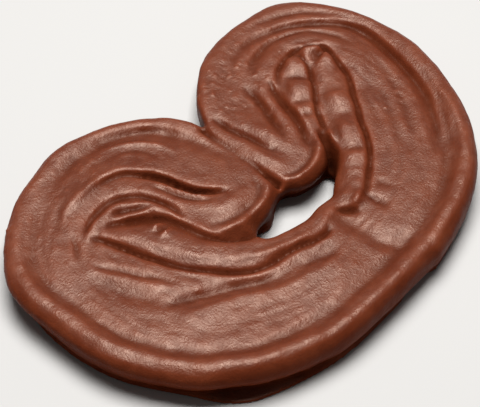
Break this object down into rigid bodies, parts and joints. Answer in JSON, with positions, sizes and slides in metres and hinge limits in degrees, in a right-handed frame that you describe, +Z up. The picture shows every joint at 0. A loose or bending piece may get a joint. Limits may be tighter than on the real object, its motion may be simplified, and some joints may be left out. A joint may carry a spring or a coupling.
{
  "type": "chocolate-coated palmier pastry",
  "caption": "Heart-shaped rolled puff pastry under a full milk chocolate coat, with folds, a raised rim, a cleft and a through hole between its rolls.",
  "frame": {"origin": "middle of the footprint's box, on the flat underside", "axes": "+X across the two rolls, +Y from the closed edge towards the cleft between the rolls, +Z up through the thickness"},
  "size_m": [0.1229, 0.087, 0.0112],
  "materials": {
    "milk_chocolate": "satin"
  },
  "bodies": {
    "root": {"palmier": "milk_chocolate"}
  },
  "joints": []
}
